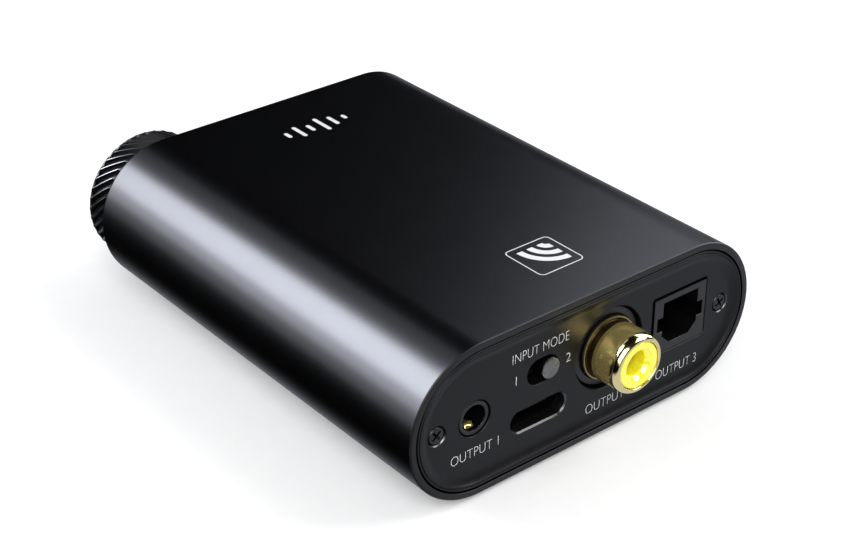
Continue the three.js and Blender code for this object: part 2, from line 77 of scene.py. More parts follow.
LINE_OUT = (18.44, 0)
USB = (7.95, -3.73)
MODE_SWITCH = (7.45, 2.48)
COAX = (-3.93, 1.1)
OPTICAL_CUTOUT = (-21.6, -11.5, -3.7, 5.2)      # left, right, low, high
OPTICAL_MOUTH = (-20, -13.65, -2.45, 3.85)
VOLUME = (-18, 0)
HEADPHONE = (18.9, 0)
BALANCED = (11, 0)
GAIN_SWITCH = (0.6, 3.15)
BASS_SWITCH = (0.6, -3.05)
SLIDE_TRAVEL = 2
SWITCH_SLOT = (5.12, 3.65)
KNOB_RADIUS = 9.74
COAX_PROUD = 5.5
LIGHT_RING = (6.4, 7.6)      # inner and outer radius

# -------- Camera
# It was fitted to the outline of the shell in the photograph. Its place is in metres.

CAMERA_AT = (0.13685, 0.17269, 0.13762)
CAMERA_AZIMUTH = math.radians(141.075)
CAMERA_ELEVATION = math.radians(30.14)
CAMERA_ROLL = math.radians(-0.167)


def add_camera():
    data = bpy.data.cameras.new("camera")
    data.sensor_width = 36
    data.lens = 77.245
    data.clip_start = 0.01
    data.clip_end = 20
    camera = bpy.data.objects.new("camera", data)
    scene.collection.objects.link(camera)
    a, e = CAMERA_AZIMUTH, CAMERA_ELEVATION
    back = Vector((math.sin(a) * math.cos(e), -math.cos(a) * math.cos(e), math.sin(e)))
    right = Vector((0, 0, 1)).cross(back).normalized()
    up = back.cross(right)
    level = Matrix((right, up, back)).transposed().to_4x4()
    rolled = level @ Matrix.Rotation(CAMERA_ROLL, 4, "Z")
    camera.matrix_world = Matrix.Translation(CAMERA_AT) @ rolled
    scene.camera = camera


# -------- Outlines, as (x, z) lists


def arc(centre, radius, start, end, steps):
    """Points round a centre, from one angle to another in degrees."""
    angles = [math.radians(start + (end - start) * i / steps) for i in range(steps + 1)]
    return [(centre[0] + radius * math.cos(t), centre[1] + radius * math.sin(t)) for t in angles]


def circle(radius, sides=64):
    return arc((0, 0), radius, 0, 360, sides)[:-1]


def stadium(width, height, steps=24):
    radius = height / 2
    half = width / 2 - radius
    return arc((half, 0), radius, -90, 90, steps) + arc((-half, 0), radius, 90, 270, steps)


def rounded(width, height, corner, steps=6):
    x, z = width / 2 - corner, height / 2 - corner
    corners = [((x, -z), -90), ((x, z), 0), ((-x, z), 90), ((-x, -z), 180)]
    return [p for centre, start in corners for p in arc(centre, corner, start, start + 90, steps)]


def grown(outline, by):
    """An anticlockwise outline with every side moved outwards."""
    points = [Vector(p) for p in outline]
    moved = []
    for before, here, after in zip(points[-1:] + points[:-1], points, points[1:] + points[:1]):
        first, second = (here - before).normalized(), (after - here).normalized()
        normals = Vector((first.y, -first.x)) + Vector((second.y, -second.x))
        moved.append(here + normals * (2 * by / normals.length_squared))
    return [tuple(p) for p in moved]


def shifted(outline, at):
    return [(x + at[0], z + at[1]) for x, z in outline]


# -------- Closed shapes
# Each is a list of points and a list of faces.


def loft(rings, closed=False):
    """A skin through rings of 3-D points. It is capped at both ends, or closed on itself."""
    sides = len(rings[0])
    points = [p for ring in rings for p in ring]
    pairs = [(i, i + 1) for i in range(len(rings) - 1)]
    if closed:
        pairs.append((len(rings) - 1, 0))
    faces = []
    for a, b in pairs:
        for i in range(sides):
            j = (i + 1) % sides
            faces.append((a * sides + i, a * sides + j, b * sides + j, b * sides + i))
    if not closed:
        last = (len(rings) - 1) * sides
        faces += [tuple(range(sides)), tuple(range(last, last + sides))]
    return points, faces


def ring_at(outline, y):
    return [(x, y, z) for x, z in outline]


def stepped(outline_of, steps, at=(0, 0), closed=False):
    """A loft whose outline is outline_of(grow) at each (grow, y) step."""
    rings = [ring_at(shifted(outline_of(grow), at), y) for grow, y in steps]
    return loft(rings, closed)


def lathe(profile, sides=96, closed=False, at=(0, 0)):
    """A profile of (radius, y) points turned about a line along Y."""
    points, rings = [], []
    for radius, y in profile:
        outline = [(0, 0)] if radius < 1e-6 else circle(radius, sides)
        rings.append(list(range(len(points), len(points) + len(outline))))
        points += ring_at(shifted(outline, at), y)
    pairs = list(zip(rings, rings[1:]))
    if closed:
        pairs.append((rings[-1], rings[0]))
    faces = []
    for a, b in pairs:
        for i in range(sides):
            j = (i + 1) % sides
            corners = [a[i % len(a)], a[j % len(a)], b[j % len(b)], b[i % len(b)]]
            face = list(dict.fromkeys(corners))
            if len(face) > 2:
                faces.append(face)
    return points, faces


def rod(radius, y0, y1, at=(0, 0), sides=64):
    """A round bar along Y."""
    return lathe([(0, y0), (radius, y0), (radius, y1), (0, y1)], sides, at=at)


def tube(inner, outer, y0, y1, edge, sides):
    """A round tube along Y, with its edges chamfered."""
    return lathe([
        (inner + edge, y0), (outer - edge, y0), (outer, y0 + edge), (outer, y1 - edge),
        (outer - edge, y1), (inner + edge, y1), (inner, y1 - edge), (inner, y0 + edge),
    ], sides, closed=True)


def block(x, y, z):
    """A box between two values on each axis."""
    ring = [(x[0], z[0]), (x[1], z[0]), (x[1], z[1]), (x[0], z[1])]
    return loft([ring_at(ring, y[0]), ring_at(ring, y[1])])


def upright(part):
    """A part made along Y, turned to stand along Z."""
    points, faces = part
    return [(x, -z, y) for x, y, z in points], faces


def turned(part, degrees):
    """A part turned about the Y axis, from X towards Z."""
    points, faces = part
    c, s = math.cos(math.radians(degrees)), math.sin(math.radians(degrees))
    return [(x * c - z * s, y, x * s + z * c) for x, y, z in points], faces


def quarter_turn(steps):
    """Angles from zero to a right angle, in radians."""
    return [math.pi / 2 * i / steps for i in range(steps + 1)]


def round_rise(steps):
    """(grow, lift) shares of a rounded edge, from an end face to the side."""
    return [(math.sin(t) - 1, 1 - math.cos(t)) for t in quarter_turn(steps)]


def rounded_bar(edge, y0, y1):
    """(grow, y) steps of a bar along Y whose ends are rounded by edge."""
    low = [(edge * grow, y0 + edge * lift) for grow, lift in round_rise(4)]
    high = [(edge * grow, y1 - edge * lift) for grow, lift in reversed(round_rise(4))]
    return low + high


# -------- Meshes and pieces


def solid(*parts):
    """A loose object made of closed shapes, in millimetres."""
    points, faces = [], []
    for part_points, part_faces in parts:
        start = len(points)
        points += part_points
        faces += [[start + i for i in face] for face in part_faces]
    mesh = bpy.data.meshes.new("solid")
    mesh.from_pydata(points, [], faces)
    shape = bmesh.new()
    shape.from_mesh(mesh)
    bmesh.ops.recalc_face_normals(shape, faces=shape.faces)
    shape.to_mesh(mesh)
    shape.free()
    piece = bpy.data.objects.new("solid", mesh)
    scene.collection.objects.link(piece)
    return piece


def bake(piece):
    """Applies a piece's modifiers."""
    graph = bpy.context.evaluated_depsgraph_get()
    made = bpy.data.meshes.new_from_object(piece.evaluated_get(graph))
    piece.modifiers.clear()
    piece.data = made
    return piece


def boolean(piece, operation, tools):
    for tool in tools:
        step = piece.modifiers.new("boolean", "BOOLEAN")
        step.operation = operation
        step.solver = "EXACT"
        step.object = tool
    bake(piece)
    for tool in tools:
        bpy.data.objects.remove(tool)
    return piece


def cut(piece, *parts):
    return boolean(piece, "DIFFERENCE", [solid(part) for part in parts])


def join(piece, *parts):
    return boolean(piece, "UNION", [solid(part) for part in parts])


def soften(piece, width, segments=2):
    """Rounds a piece's sharp edges."""
    step = piece.modifiers.new("bevel", "BEVEL")
    step.width = width
    step.segments = segments
    step.limit_method = "ANGLE"
    step.angle_limit = math.radians(40)
    return bake(piece)


def place(piece, name, look, frame_of, at=(0, 0), body="housing", replaces=(), smooth=32):
    """Puts a solid in its frame, in metres, and says what it is. Edges that bend by less than
    smooth degrees are shaded smooth."""
    piece.name = name
    mesh = piece.data
    mesh.name = name
    mesh.transform(Matrix.Scale(MM, 4))
    shape = bmesh.new()
    shape.from_mesh(mesh)
    limit = math.radians(smooth)
    for edge in shape.edges:
        edge.smooth = edge.calc_face_angle(math.pi) < limit
    for face in shape.faces:
        face.smooth = True
    shape.to_mesh(mesh)
    shape.free()
    mesh.materials.clear()
    mesh.materials.append(look)
    at = (at[0], 0, at[1]) if len(at) == 2 else at
    piece.matrix_world = frame_of @ Matrix.Translation(Vector(at) * MM)
    normals = piece.modifiers.new("normals", "WEIGHTED_NORMAL")
    normals.keep_sharp = True
    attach(piece, body)
    if replaces:
        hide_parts(*replaces)
    return piece


def second_finish(piece, look, chosen):
    """Gives another material to the faces whose centre is chosen, in the piece's own mm."""
    piece.data.materials.append(look)
    for face in piece.data.polygons:
        if chosen(face.center / MM):
            face.material_index = len(piece.data.materials) - 1


# -------- Materials

NOISE_RANGE = (0.3, 0.7)      # where most of a noise texture's values lie
SLOW_GRAIN = 4.0
FINE_SHARE = 0.6


def node(tree, kind, inputs):
    """A new node. A socket among its inputs is linked, and any other value is set."""
    made = tree.nodes.new("ShaderNode" + kind)
    for key, value in inputs.items():
        if isinstance(value, bpy.types.NodeSocket):
            tree.links.new(value, made.inputs[key])
        else:
            made.inputs[key].default_value = value
    return made


def finish(name, colour, roughness, metallic=0.0, mottle=0.2, grain=0.12, relief=0.0008,
           stretch=(1, 1, 1), spread=0.05, **uniform):
    """A surface with fine grain and slow mottling. grain and relief are the width and height of
    the grain, mottle is the share by which the colour varies, and spread is how far the
    roughness does. uniform holds more of the shader's sockets."""
    made = bpy.data.materials.new(name)
    made.use_nodes = True
    tree = made.node_tree
    shader = tree.nodes["Principled BSDF"]
    shader.inputs["Metallic"].default_value = metallic
    for socket, value in uniform.items():
        shader.inputs[socket.replace("_", " ")].default_value = value
    where = node(tree, "TexCoord", {}).outputs["Object"]

    def noise(size, detail, direction=(1, 1, 1)):
        scale = [share / (size * MM) for share in direction]
        scaled = node(tree, "Mapping", {"Vector": where, "Scale": scale}).outputs["Vector"]
        texture = node(tree, "TexNoise", {"Vector": scaled, "Scale": 1, "Detail": detail})
        return texture.outputs["Fac"]

    fine, slow = noise(grain, 2, stretch), noise(SLOW_GRAIN, 3)
    slow_part = node(tree, "Math", {0: slow, 1: 1 - FINE_SHARE})
    slow_part.operation = "MULTIPLY"
    both = node(tree, "Math", {0: fine, 1: FINE_SHARE, 2: slow_part.outputs[0]})
    both.operation = "MULTIPLY_ADD"

    tint = node(tree, "ValToRGB", {"Fac": both.outputs[0]})
    darkest, lightest = tint.color_ramp.elements
    darkest.position, lightest.position = NOISE_RANGE
    darkest.color = [c * (1 - mottle) for c in colour] + [1]
    lightest.color = [min(1, c * (1 + mottle)) for c in colour] + [1]
    gloss = node(tree, "MapRange", {
        "Value": both.outputs[0], "From Min": NOISE_RANGE[0], "From Max": NOISE_RANGE[1],
        "To Min": max(0.02, roughness - spread), "To Max": roughness + spread})
    bump = node(tree, "Bump", {"Height": fine, "Strength": 1, "Distance": relief * MM})
    tree.links.new(tint.outputs["Color"], shader.inputs["Base Color"])
    tree.links.new(gloss.outputs["Result"], shader.inputs["Roughness"])
    tree.links.new(bump.outputs["Normal"], shader.inputs["Normal"])
    return made


def blend_along(tree, axis, between, values):
    """A socket that goes smoothly from one value to another between two places on an object's
    own axis, in metres."""
    where = node(tree, "TexCoord", {})
    split = node(tree, "SeparateXYZ", {"Vector": where.outputs["Object"]})
    blend = node(tree, "MapRange", {
        "Value": split.outputs[axis], "From Min": between[0], "From Max": between[1],
        "To Min": values[0], "To Max": values[1]})
    blend.interpolation_type = "SMOOTHSTEP"
    return blend.outputs["Result"]


def painted_sheen_by_height(made, heights, gleams):
    """Paints a sheen by height: a metal's gleam at low angles changes between two heights.
    This painted reflection leaves the shell dark on top and pale underneath."""
    tree = made.node_tree
    gleam = blend_along(tree, "Z", [height * MM for height in heights], gleams)
    tree.links.new(gleam, tree.nodes["Principled BSDF"].inputs["Specular Tint"])
    return made


def turned_grain(made, amount):
    """Makes a metal's highlights run round the Y axis, as a lathe leaves them."""
    tree = made.node_tree
    shader = tree.nodes["Principled BSDF"]
    shader.inputs["Anisotropic"].default_value = amount
    tangent = node(tree, "Tangent", {})
    tangent.direction_type = "RADIAL"
    tangent.axis = "Y"
    tree.links.new(tangent.outputs["Tangent"], shader.inputs["Tangent"])
    return made


# The shell's underside gleams more at low angles than its top: painted reflection.
SHELL_BLACK = painted_sheen_by_height(
    finish("anodised_shell", (0.036, 0.036, 0.037), 0.26, metallic=1.0, mottle=0.05, grain=0.09,
           relief=0.0009, spread=0.01),
    (-5, 1), (1, 0.4))
EDGE_BLACK = finish("anodised_edge", (0.008, 0.008, 0.009), 0.38, grain=0.06, relief=0.0012,
                    IOR=1.38)
PANEL_BLACK = finish("anodised_panel", (0.003, 0.003, 0.0035), 0.4, grain=0.08, relief=0.001,
                     spread=0.04, IOR=1.35)
KNOB_BLACK = finish("anodised_knob", (0.0015, 0.0015, 0.002), 0.24, grain=0.07, relief=0.0006,
                    IOR=1.4)
# A darker, rougher copy of the knob's black for the valleys between its ridges: painted shade.
KNOB_VALLEY_SHADE = finish("painted_valley_shade", (0.0008, 0.0008, 0.001), 0.5, grain=0.07, relief=0.0006,
                      IOR=1.2)
# A lighter metal for edges and tips: partly wear, partly a painted highlight where edges catch
# light.
WEAR_AND_HIGHLIGHT = finish("wear_and_painted_highlight", (0.1, 0.1, 0.105), 0.3, metallic=1.0, grain=0.07, relief=0.0006)
SCREW_BLACK = finish("black_screw", (0.02, 0.02, 0.022), 0.3, metallic=0.5, grain=0.05)
PLASTIC = finish("connector_plastic", (0.006, 0.006, 0.0065), 0.42, grain=0.15, relief=0.002)
# A near-black, dull finish: painted shade inside recesses and bores, and the washer's own black.
BLACK_AND_PAINTED_SHADE = finish("black_plastic_and_painted_shade", (0.0012, 0.0012, 0.0014), 0.7, grain=0.15, relief=0.002,
                    IOR=1.12)
RUBBER = finish("rubber_foot", (0.012, 0.012, 0.012), 0.8, grain=0.2, relief=0.006)
GOLD = finish("gold_plate", (1.0, 0.84, 0.42), 0.12, metallic=1.0, mottle=0.04, grain=0.05,
              stretch=(0.15, 1, 0.15), relief=0.0003, spread=0.03)
GOLD_SATIN = finish("gold_plate_satin", (0.98, 0.76, 0.27), 0.13, metallic=0.86, mottle=0.04,
                    grain=0.08, relief=0.0, spread=0.005)
# Darker copies of the gold for the barrel's flange and the groove of its neck: painted shade.
GOLD_FLANGE_SHADE = finish("gold_flange_painted_shade", (0.32, 0.25, 0.09), 0.24, metallic=0.85, mottle=0.1,
                   grain=0.08, relief=0.0, spread=0.01)
GOLD_NECK_SHADE = finish("gold_neck_painted_shade", (0.04, 0.024, 0.009), 0.3, metallic=0.8, mottle=0.1,
                   grain=0.08, relief=0.0, spread=0.02)
YELLOW = finish("yellow_insulator", (0.93, 0.84, 0.03), 0.2, mottle=0.05, grain=0.4,
                relief=0.0003, spread=0.03, IOR=1.7, Coat_Weight=1.0, Coat_Roughness=0.07,
                Coat_IOR=2.0)
NICKEL = finish("nickel_steel", (0.62, 0.61, 0.6), 0.26, metallic=1.0, mottle=0.06, grain=0.08)
SLIDER_SILVER = turned_grain(
    finish("slider_metal", (0.23, 0.226, 0.222), 0.33, metallic=1.0, mottle=0.05, grain=0.06),
    0.95)
BOARD = finish("circuit_board", (0.006, 0.02, 0.012), 0.35, mottle=0.4, grain=0.6, relief=0.004)
CHIP = finish("chip_package", (0.014, 0.014, 0.015), 0.55, grain=0.08, relief=0.002)
CAN = finish("oscillator_can", (0.66, 0.65, 0.63), 0.28, metallic=1.0, mottle=0.06,
             stretch=(1, 0.08, 1))
SLEEVE = finish("capacitor_sleeve", (0.013, 0.023, 0.09), 0.3, grain=0.3)
FERRITE = finish("ferrite", (0.045, 0.044, 0.046), 0.75, grain=0.15, relief=0.006)
DIFFUSER = finish("light_diffuser", (0.8, 0.82, 0.84), 0.35, mottle=0.03, grain=0.5,
                  Subsurface_Weight=0.3, Subsurface_Scale=0.001)
LENS = finish("clear_lens", (0.75, 0.68, 0.68), 0.08, mottle=0.03, grain=0.5, IOR=1.5,
              Transmission_Weight=0.8)
INK = finish("printed_marks", (0.6, 0.6, 0.61), 0.5, mottle=0.05, grain=0.08)

# -------- Shell


def stadium_loft(steps, closed=False):
    """The housing's own section through (radius, y) steps."""
    return loft([ring_at(stadium(2 * (FLAT_HALF + radius), 2 * radius, 64), y)
                 for radius, y in steps], closed)


def build_shell():
    """The extrusion, with its screw channels and the rails that hold the board."""
    edge, inner_edge = 0.26, 0.05
    outside = [(SIDE_RADIUS + edge * grow, SHELL_END - edge * lift)
               for grow, lift in round_rise(5)]
    inside = [(CAVITY_RADIUS, SHELL_END - inner_edge), (CAVITY_RADIUS + inner_edge, SHELL_END)]
    half = inside + outside
    whole = half + [(radius, -y) for radius, y in reversed(half)]
    shell = solid(stadium_loft(whole, closed=True))
    inner_end = face_y - BEHIND_PANEL
    along = (-inner_end, inner_end)
    boss_radius, hole_radius, rail_x, rail_outer = 1.9, 0.9, 23, 1.15
    ribs = []
    for side in (-1, 1):
        web = sorted((side * (SCREW_X + 1), side * BODY_WIDTH / 2))
        rail = sorted((side * rail_x, side * BODY_WIDTH / 2))
        ribs += [
            rod(boss_radius, *along, at=(side * SCREW_X, 0)),
            block(web, along, (-0.7, 0.7)),
            block(rail, along, (BOARD_TOP + GAP, BOARD_TOP + rail_outer)),
            block(rail, along, (BOARD_BOTTOM - rail_outer, BOARD_BOTTOM - GAP)),
        ]
    inside_wall = stadium_loft([(SIDE_RADIUS - 0.5, y) for y in along])
    trimmed = [boolean(solid(rib), "INTERSECT", [solid(inside_wall)]) for rib in ribs]
    boolean(shell, "UNION", trimmed)
    cut(shell, *[rod(hole_radius, -SHELL_END, SHELL_END, at=(x, 0))
                 for x in (-SCREW_X, SCREW_X)])
    place(shell, "extruded_shell", SHELL_BLACK, HOUSING, replaces=["shell"])
    # The sawn ends have a finish of their own.
    second_finish(shell, EDGE_BLACK, lambda face: abs(face.y) > SHELL_END - edge * 0.7)


# -------- Panels


def panel_blank():
    """A panel with a grooved rim, and a concave wall that runs down from the rim to its face."""
    wall = [(9.17 - 1.4 * t, 0.56 * (1 - t) ** 2) for t in (i / 9 for i in range(10))]
    steps = [
        (9.45, -PANEL_THICKNESS), (9.68, -PANEL_THICKNESS + 0.06), (PANEL_RADIUS, -1.8),
        (PANEL_RADIUS + 0.08, -0.6), (PANEL_RADIUS + 0.08, 0.5), (9.81, 0.57), (9.75, RIM_HEIGHT),
        (9.57, RIM_HEIGHT), (9.54, 0.59), (9.54, 0.45), (9.45, 0.45), (9.45, 0.59),
        (9.42, RIM_HEIGHT), (9.24, RIM_HEIGHT), (9.2, 0.6),
    ] + wall + [(7.7, 0.0)]
    return solid(stadium_loft(steps))


def hole(outline_of, at, edge=0.07):
    """A cutter right through a panel, with a broken edge on its face."""
    steps = [(0, -PANEL_THICKNESS - 1), (0, -edge), (edge, 0), (edge, 1)]
    return stepped(outline_of, steps, at)


def round_hole(radius, at, edge=0.07):
    return hole(lambda grow: circle(radius + grow, 96), at, edge)


def slot_hole(at):
    return hole(lambda grow: stadium(*[size + 2 * grow for size in SWITCH_SLOT]), at)


def screw_hole(x):
    """A clearance hole with a counterbore and a broken edge."""
    return lathe([
        (0, -PANEL_THICKNESS - 1), (0.85, -PANEL_THICKNESS - 1), (0.85, -0.9), (1.33, -0.9),
        (1.33, -0.14), (1.46, 0), (1.46, 1), (0, 1),
    ], 64, at=(x, 0))


def build_rear_panel():
    left, right, low, high = OPTICAL_CUTOUT
    optical_middle = ((left + right) / 2, (low + high) / 2)
    # The data socket's opening is wider behind, where the socket's shell ends in it.
    usb_opening = stepped(
        lambda grow: stadium(9.1 + 2 * grow, 3.15 + 2 * grow),
        [(0.3, -PANEL_THICKNESS - 1), (0.3, -1), (0, -0.99), (0, -0.2), (0.2, 0), (0.2, 1)], USB)
    panel = cut(
        panel_blank(), screw_hole(-SCREW_X), screw_hole(SCREW_X), round_hole(2.54, LINE_OUT),
        round_hole(5.83, COAX, 0.09), slot_hole(MODE_SWITCH), usb_opening,
        hole(lambda grow: rounded(right - left + 2 * grow, high - low + 2 * grow, 0.5 + grow),
             optical_middle))
    place(panel, "rear_panel_plate", PANEL_BLACK, REAR, replaces=["rear_panel"])

    def on_chamfer(face):
        """Whether a face is on the chamfer of the data socket's opening or of a screw's hole."""
        from_screw = math.hypot(abs(face.x) - SCREW_X, face.z)
        by_socket = abs(face.x - USB[0]) < 4.9 and abs(face.z - USB[1]) < 1.9
        return -0.19 < face.y < -0.01 and (by_socket or 1.34 < from_screw < 1.5)

    # The chamfers of the data socket's opening and of the screws' holes get a lighter metal:
    # partly wear, partly painted highlight.
    second_finish(panel, WEAR_AND_HIGHLIGHT, on_chamfer)


def build_front_panel():
    """The panel behind the knob, with a groove for the light ring and ports for its light."""
    inner, outer = LIGHT_RING
    middle = (inner + outer) / 2
    groove = lathe([
        (inner - 0.3, -1.1), (outer + 0.3, -1.1), (outer + 0.3, -0.05), (outer + 0.35, 0),
        (outer + 0.35, 1), (inner - 0.35, 1), (inner - 0.35, 0), (inner - 0.3, -0.05),
    ], 96, closed=True, at=VOLUME)
    ports = []
    for degrees in (30, 70, 110, 150):
        angle = math.radians(degrees)
        at = (VOLUME[0] + middle * math.cos(angle), VOLUME[1] + middle * math.sin(angle))
        ports.append(rod(0.6, -PANEL_THICKNESS - 1, 0, at, sides=24))
    panel = cut(
        panel_blank(), screw_hole(SCREW_X), round_hole(3.8, VOLUME), round_hole(3.75, HEADPHONE),
        round_hole(3.1, BALANCED), slot_hole(GAIN_SWITCH), slot_hole(BASS_SWITCH), groove, *ports)
    place(panel, "front_panel_plate", PANEL_BLACK, FRONT,
          replaces=["front_panel"])


def build_screw(name, frame_of, x, node, turn):
    """A cross-head screw with a domed edge and a rolled thread."""
    pitch, root, crest = 0.35, 0.46, 0.6
    thread = []
    for i in range(17):
        y = -6.6 + i * pitch
        thread += [(root, y), (crest, y + pitch / 2)]
    head = [(crest, -0.85), (1.14, -0.85), (1.19, -0.8), (1.19, -0.3), (1.16, -0.19),
            (1.08, -0.1), (0.94, -0.06), (0, -0.06)]
    piece = solid(lathe([(0, -7), (0.3, -6.95)] + thread + head, 48))
    cross = []
    for lies_along_x in (False, True):
        rings = []
        for y, share in ((-0.8, 0.5), (-0.6, 0.85), (-0.1, 1), (0.1, 1.05)):
            across, along = 0.17, 0.8 * share
            a, b = (along, across) if lies_along_x else (across, along)
            rings.append(ring_at([(-a, -b), (a, -b), (a, b), (-a, b)], y))
        cross.append(loft(rings))
    cut(piece, *cross)
    piece.data.transform(Matrix.Rotation(math.radians(turn), 4, "Y"))
    place(piece, name, SCREW_BLACK, frame_of, (x, 0), replaces=[node])
    # The inside of the cross recess gets painted shade.
    second_finish(piece, BLACK_AND_PAINTED_SHADE, lambda face: -0.82 < face.y < -0.08 and face.xz.length < 0.7)


def build_feet():
    height, radius = 0.8, 3
    top = height - 0.05
    profile = [(0, 0.03), (1.6, 0.02), (2.5, 0), (2.72, 0.03), (2.9, 0.14), (2.98, 0.3),
               (radius, 0.42), (radius, top - 0.04), (radius - 0.05, top), (0, top)]
    for end_name, end in (("rear", 1), ("front", -1)):
        for side_name, side in (("left", -1), ("right", 1)):
            at = (side * 14, end * 27, -SIDE_RADIUS - height)
            place(solid(upright(lathe(profile, 72))), f"rubber_foot_{end_name}_{side_name}",
                  RUBBER, HOUSING, at, replaces=[f"foot_{end_name}_{side_name}"])


# -------- Round jacks


def build_jack(name, frame_of, at, bore, nose, half):
    """A jack, whose round nose ends in a rolled lip just below the panel's face."""
    edge, rear, recess = 0.11, -14, 0.12
    body = solid(block((-half, half), (rear, -BEHIND_PANEL), (ON_BOARD, half)))
    join(body, rod(nose, -BEHIND_PANEL - 1, -recess - 0.5, sides=96))
    soften(body, 0.15)
    middle, swell = (nose + bore) / 2, (nose - bore) / 2
    lip = [(middle + swell * math.cos(t), -recess - edge + edge * math.sin(t))
           for t in (math.pi * i / 12 for i in range(13))]
    ring = [(nose, -0.8)] + lip + [(bore, -0.8)]
    join(body, lathe(ring, 96, closed=True))
    inside = [(0, rear + 1.5), (bore, rear + 1.5), (bore, -6.4), (bore + 0.2, -6.3),
              (bore + 0.2, -5.2), (bore, -5.1), (bore, -recess - edge), (bore, 1), (0, 1)]
    cut(body, lathe(inside, 96), block((-0.75, 0.75), (-9, -0.75), (-bore - 0.35, -bore + 0.6)))
    place(body, f"{name}_jack_body", PLASTIC, frame_of, at,
          replaces=[f"{name}_jack"])
    # The inside of the bore gets painted shade.
    second_finish(body, BLACK_AND_PAINTED_SHADE, lambda face: face.xz.length < bore + 0.02)

    # Its contact is a leaf spring with a rolled lip that shows at the bottom of the bore.
    low, thickness = -bore - 0.15, 0.18
    line = [(-8.7, low), (-2.6, low + 0.02), (-2.1, low + 0.14), (-1.8, low + 0.32),
            (-1.55, low + 0.42), (-1.3, low + 0.36), (-1.12, low + 0.2), (-1.0, low + 0.02)]
    rings = []
    for x, shrink in ((-0.62, 0.04), (-0.58, 0), (0.58, 0), (0.62, 0.04)):
        under = [(x, y, z + shrink) for y, z in line]
        over = [(x, y, z + thickness - shrink) for y, z in reversed(line)]
        rings.append(under + over)
    place(solid(loft(rings)), f"{name}_jack_contact", GOLD_SATIN, frame_of, at,
          replaces=[f"{name}_contact"])


def build_jack_ring(name, at, inner, spigot, flange):
    """The flanged ring round a jack's mouth."""
    angles = quarter_turn(6)
    outer = [(flange - 0.28 + 0.28 * math.cos(t), 0.47 + 0.28 * math.sin(t)) for t in angles]
    lip = [(inner + 0.15 - 0.15 * math.sin(t), 0.6 + 0.15 * math.cos(t)) for t in angles]
    profile = [(inner, -1.8), (spigot, -1.8), (spigot, 0.05), (flange, 0.05)] + outer + lip
    place(solid(lathe(profile, 128, closed=True)), f"{name}_jack_ring", GOLD,
          FRONT, at, replaces=[f"{name}_ring"])


# -------- Slide switches


def build_switch(name, frame_of, at, rest):
    """A slide switch's case, and its slider at the end of its travel that rest's sign gives."""
    across = (-4.3, 4.3)
    raised = at[1] > 0
    on_board = ON_BOARD - at[1]
    body = solid(block(across, (-6.5, -BEHIND_PANEL - 0.1), (-2 if raised else on_board, 2)))
    if raised:
        # It reaches back to a leg that stands on the board.
        join(body, block(across, (-10.3, -6), (-1.5, 2)),
             block(across, (-10.3, -9.1), (on_board, 2)))
    soften(body, 0.12)
    cut(body, block((-3.2, 3.2), (-5, -2.9), (-1.4, 1.4)),
        block((-2.25, 2.25), (-3.5, 0), (-1.25, 1.25)))
    place(body, f"{name}_switch_body", PLASTIC, frame_of, at,
          replaces=[f"{name}_switch_case"])
    # The inside of the case behind the slot gets painted shade.
    second_finish(body, BLACK_AND_PAINTED_SHADE, lambda face: abs(face.x) < 3.3 and abs(face.z) < 1.5)
    carriage = soften(solid(block((-1.9, 1.9), (-4.7, -3.3), (-1.1, 1.1))), 0.12)
    nub = [(0, -3.6), (0.9, -3.6), (0.9, -1.72), (1.4, -1.7), (1.45, -1.65), (1.45, 0.3),
           (1.42, 0.38), (1.33, 0.44), (1.2, 0.45), (0.8, 0.4), (0.4, 0.37), (0, 0.36)]
    join(carriage, lathe(nub, 72))
    place(carriage, f"{name}_switch_nub", SLIDER_SILVER, frame_of,
          (at[0] + rest * SLIDE_TRAVEL / 2, at[1]), body=f"{name}_slider",
          replaces=[f"{name}_slider"])


# -------- Data socket


def build_usb():
    back, mouth = -8.6, -1.3

    def outer(grow):
        return stadium(8.94 + 2 * grow, 3.2 + 2 * grow)

    steps = [(0, back), (0, mouth - 0.06), (-0.06, mouth), (-0.14, mouth), (-0.3, mouth - 0.3),
             (-0.3, back)]
    shell = solid(stepped(outer, steps, closed=True))
    place(shell, "data_socket_shell", NICKEL, REAR, USB,
          replaces=["usb_socket_shell"])
    # The inside of the nickel shell gets painted shade.
    second_finish(shell, BLACK_AND_PAINTED_SHADE, lambda face: face.y < mouth - 0.02)
    tongue = solid(stepped(lambda grow: stadium(8 + 2 * grow, 2.26 + 2 * grow),
                           rounded_bar(0.1, -8.5, -7.3)))
    blade = rounded(6.7, 0.7, 0.14, 4)
    tip = rounded(6.3, 0.36, 0.12, 4)
    join(tongue, loft([ring_at(blade, -7.6), ring_at(blade, -2.25), ring_at(tip, -1.95)]))
    place(tongue, "data_socket_tongue", PLASTIC, REAR, USB,
          replaces=["usb_socket_tongue"])
    # The tongue's front tip gets a lighter metal: painted highlight.
    second_finish(tongue, WEAR_AND_HIGHLIGHT, lambda face: face.y > -2.3)
    pads = []
    for side in (-1, 1):
        for i in range(12):
            x = (i - 5.5) * 0.5
            surface = sorted((side * 0.33, side * 0.36))
            pads.append(block((x - 0.11, x + 0.11), (-6.6, -4), surface))
    place(solid(*pads), "data_socket_contacts", GOLD, REAR, USB)


# -------- Coaxial socket


